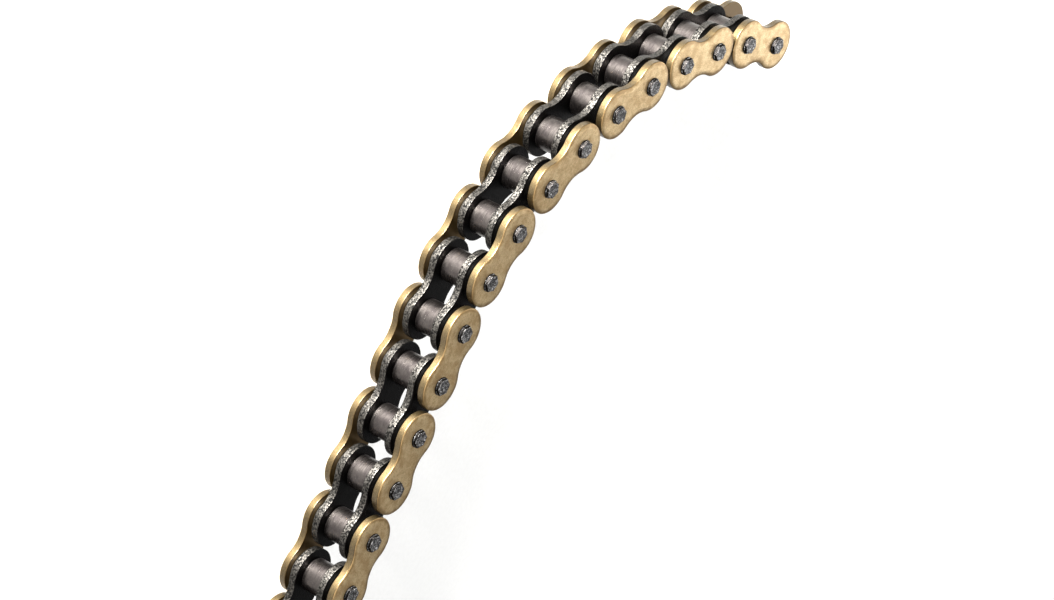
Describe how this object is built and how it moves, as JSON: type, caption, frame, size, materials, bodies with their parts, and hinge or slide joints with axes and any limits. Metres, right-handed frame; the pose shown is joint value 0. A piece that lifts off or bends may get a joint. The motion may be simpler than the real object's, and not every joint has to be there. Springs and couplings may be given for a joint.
{
  "type": "motorcycle drive chain",
  "caption": "Sealed roller drive chain: gold outer plates on hinge pins, black inner plates on bushings, and steel rollers, with every joint free to bend.",
  "frame": {"origin": "centre of the bounding box at the plane of the lower pin heads' flat ends, which the chain lies on", "axes": "+Z along the pins, towards the top plates; the straight end points to +X and the chain runs towards -X, then curls towards +Y"},
  "size_m": [0.236, 0.1124, 0.0221],
  "materials": {
    "outer_plate": "gold-plated steel, brushed satin",
    "inner_link": "black oxide, shot-peened",
    "pin": "hardened steel, riveted heads",
    "roller": "dark ground steel, lightly oiled",
    "seal": "black seal rings"
  },
  "bodies": {
    "outer_link_1": {"outer_plate_top_1": "outer_plate", "outer_plate_bottom_1": "outer_plate", "pin_01": "pin", "pin_02": "pin"},
    "outer_link_2": {"outer_plate_top_2": "outer_plate", "outer_plate_bottom_2": "outer_plate", "pin_03": "pin", "pin_04": "pin"},
    "outer_link_3": {"outer_plate_top_3": "outer_plate", "outer_plate_bottom_3": "outer_plate", "pin_05": "pin", "pin_06": "pin"},
    "outer_link_4": {"outer_plate_top_4": "outer_plate", "outer_plate_bottom_4": "outer_plate", "pin_07": "pin", "pin_08": "pin"},
    "outer_link_5": {"outer_plate_top_5": "outer_plate", "outer_plate_bottom_5": "outer_plate", "pin_09": "pin", "pin_10": "pin"},
    "outer_link_6": {"outer_plate_top_6": "outer_plate", "outer_plate_bottom_6": "outer_plate", "pin_11": "pin", "pin_12": "pin"},
    "outer_link_7": {"outer_plate_top_7": "outer_plate", "outer_plate_bottom_7": "outer_plate", "pin_13": "pin", "pin_14": "pin"},
    "outer_link_8": {"outer_plate_top_8": "outer_plate", "outer_plate_bottom_8": "outer_plate", "pin_15": "pin", "pin_16": "pin"},
    "outer_link_9": {"outer_plate_top_9": "outer_plate", "outer_plate_bottom_9": "outer_plate", "pin_17": "pin", "pin_18": "pin"},
    "inner_link_1": {"inner_link_frame_1": "inner_link"},
    "inner_link_2": {"inner_link_frame_2": "inner_link"},
    "inner_link_3": {"inner_link_frame_3": "inner_link"},
    "inner_link_4": {"inner_link_frame_4": "inner_link"},
    "inner_link_5": {"inner_link_frame_5": "inner_link"},
    "inner_link_6": {"inner_link_frame_6": "inner_link"},
    "inner_link_7": {"inner_link_frame_7": "inner_link"},
    "inner_link_8": {"inner_link_frame_8": "inner_link"},
    "roller_02": {"roller_02": "roller"},
    "roller_03": {"roller_03": "roller"},
    "roller_04": {"roller_04": "roller"},
    "roller_05": {"roller_05": "roller"},
    "roller_06": {"roller_06": "roller"},
    "roller_07": {"roller_07": "roller"},
    "roller_08": {"roller_08": "roller"},
    "roller_09": {"roller_09": "roller"},
    "roller_10": {"roller_10": "roller"},
    "roller_11": {"roller_11": "roller"},
    "roller_12": {"roller_12": "roller"},
    "roller_13": {"roller_13": "roller"},
    "roller_14": {"roller_14": "roller"},
    "roller_15": {"roller_15": "roller"},
    "roller_16": {"roller_16": "roller"},
    "roller_17": {"roller_17": "roller"}
  },
  "joints": [
    {"name": "pin_02_hinge", "type": "hinge", "parent": "inner_link_1", "child": "outer_link_1", "pos_m": [0.0945, -0.04861, 0.01107], "axis": [0, 0, -1], "range_deg": [-90, 90]},
    {"name": "pin_03_hinge", "type": "hinge", "parent": "outer_link_2", "child": "inner_link_1", "pos_m": [0.07862, -0.04861, 0.01107], "axis": [0, 0, 1], "range_deg": [-90, 90]},
    {"name": "pin_04_hinge", "type": "hinge", "parent": "inner_link_2", "child": "outer_link_2", "pos_m": [0.06275, -0.04861, 0.01107], "axis": [0, 0, -1], "range_deg": [-90, 90]},
    {"name": "pin_05_hinge", "type": "hinge", "parent": "outer_link_3", "child": "inner_link_2", "pos_m": [0.04687, -0.04861, 0.01107], "axis": [0, 0, 1], "range_deg": [-90, 90]},
    {"name": "pin_06_hinge", "type": "hinge", "parent": "inner_link_3", "child": "outer_link_3", "pos_m": [0.031, -0.04861, 0.01107], "axis": [0, 0, -1], "range_deg": [-90, 90]},
    {"name": "pin_07_hinge", "type": "hinge", "parent": "outer_link_4", "child": "inner_link_3", "pos_m": [0.01512, -0.04861, 0.01107], "axis": [0, 0, 1], "range_deg": [-90, 90]},
    {"name": "pin_08_hinge", "type": "hinge", "parent": "inner_link_4", "child": "outer_link_4", "pos_m": [-0.00075, -0.04861, 0.01107], "axis": [0, 0, -1], "range_deg": [-84, 96]},
    {"name": "pin_09_hinge", "type": "hinge", "parent": "outer_link_5", "child": "inner_link_4", "pos_m": [-0.01654, -0.04695, 0.01107], "axis": [0, 0, 1], "range_deg": [-97.9, 82.1]},
    {"name": "pin_10_hinge", "type": "hinge", "parent": "outer_link_5", "child": "inner_link_5", "pos_m": [-0.03195, -0.04313, 0.01107], "axis": [0, 0, 1], "range_deg": [-82.1, 97.9]},
    {"name": "pin_11_hinge", "type": "hinge", "parent": "inner_link_5", "child": "outer_link_6", "pos_m": [-0.04669, -0.03724, 0.01107], "axis": [0, 0, -1], "range_deg": [-97.9, 82.1]},
    {"name": "pin_12_hinge", "type": "hinge", "parent": "outer_link_6", "child": "inner_link_6", "pos_m": [-0.06048, -0.02937, 0.01107], "axis": [0, 0, 1], "range_deg": [-82.1, 97.9]},
    {"name": "pin_13_hinge", "type": "hinge", "parent": "inner_link_6", "child": "outer_link_7", "pos_m": [-0.07306, -0.01969, 0.01107], "axis": [0, 0, -1], "range_deg": [-97.9, 82.1]},
    {"name": "pin_14_hinge", "type": "hinge", "parent": "outer_link_7", "child": "inner_link_7", "pos_m": [-0.08418, -0.00836, 0.01107], "axis": [0, 0, 1], "range_deg": [-82.1, 97.9]},
    {"name": "pin_15_hinge", "type": "hinge", "parent": "inner_link_7", "child": "outer_link_8", "pos_m": [-0.09365, 0.00438, 0.01107], "axis": [0, 0, -1], "range_deg": [-97.9, 82.1]},
    {"name": "pin_16_hinge", "type": "hinge", "parent": "outer_link_8", "child": "inner_link_8", "pos_m": [-0.10127, 0.01831, 0.01107], "axis": [0, 0, 1], "range_deg": [-82.1, 97.9]},
    {"name": "pin_17_hinge", "type": "hinge", "parent": "inner_link_8", "child": "outer_link_9", "pos_m": [-0.10691, 0.03315, 0.01107], "axis": [0, 0, -1], "range_deg": [-97.9, 82.1]},
    {"name": "roller_02_spin", "type": "hinge", "parent": "inner_link_1", "child": "roller_02", "pos_m": [0.0945, -0.04861, 0.01107], "axis": [0, 0, 1], "continuous": true},
    {"name": "roller_03_spin", "type": "hinge", "parent": "inner_link_1", "child": "roller_03", "pos_m": [0.07862, -0.04861, 0.01107], "axis": [0, 0, 1], "continuous": true},
    {"name": "roller_04_spin", "type": "hinge", "parent": "inner_link_2", "child": "roller_04", "pos_m": [0.06275, -0.04861, 0.01107], "axis": [0, 0, 1], "continuous": true},
    {"name": "roller_05_spin", "type": "hinge", "parent": "inner_link_2", "child": "roller_05", "pos_m": [0.04687, -0.04861, 0.01107], "axis": [0, 0, 1], "continuous": true},
    {"name": "roller_06_spin", "type": "hinge", "parent": "inner_link_3", "child": "roller_06", "pos_m": [0.031, -0.04861, 0.01107], "axis": [0, 0, 1], "continuous": true},
    {"name": "roller_07_spin", "type": "hinge", "parent": "inner_link_3", "child": "roller_07", "pos_m": [0.01512, -0.04861, 0.01107], "axis": [0, 0, 1], "continuous": true},
    {"name": "roller_08_spin", "type": "hinge", "parent": "inner_link_4", "child": "roller_08", "pos_m": [-0.00075, -0.04861, 0.01107], "axis": [0, 0, 1], "continuous": true},
    {"name": "roller_09_spin", "type": "hinge", "parent": "inner_link_4", "child": "roller_09", "pos_m": [-0.01654, -0.04695, 0.01107], "axis": [0, 0, 1], "continuous": true},
    {"name": "roller_10_spin", "type": "hinge", "parent": "inner_link_5", "child": "roller_10", "pos_m": [-0.03195, -0.04313, 0.01107], "axis": [0, 0, 1], "continuous": true},
    {"name": "roller_11_spin", "type": "hinge", "parent": "inner_link_5", "child": "roller_11", "pos_m": [-0.04669, -0.03724, 0.01107], "axis": [0, 0, 1], "continuous": true},
    {"name": "roller_12_spin", "type": "hinge", "parent": "inner_link_6", "child": "roller_12", "pos_m": [-0.06048, -0.02937, 0.01107], "axis": [0, 0, 1], "continuous": true},
    {"name": "roller_13_spin", "type": "hinge", "parent": "inner_link_6", "child": "roller_13", "pos_m": [-0.07306, -0.01969, 0.01107], "axis": [0, 0, 1], "continuous": true},
    {"name": "roller_14_spin", "type": "hinge", "parent": "inner_link_7", "child": "roller_14", "pos_m": [-0.08418, -0.00836, 0.01107], "axis": [0, 0, 1], "continuous": true},
    {"name": "roller_15_spin", "type": "hinge", "parent": "inner_link_7", "child": "roller_15", "pos_m": [-0.09365, 0.00438, 0.01107], "axis": [0, 0, 1], "continuous": true},
    {"name": "roller_16_spin", "type": "hinge", "parent": "inner_link_8", "child": "roller_16", "pos_m": [-0.10127, 0.01831, 0.01107], "axis": [0, 0, 1], "continuous": true},
    {"name": "roller_17_spin", "type": "hinge", "parent": "inner_link_8", "child": "roller_17", "pos_m": [-0.10691, 0.03315, 0.01107], "axis": [0, 0, 1], "continuous": true}
  ]
}
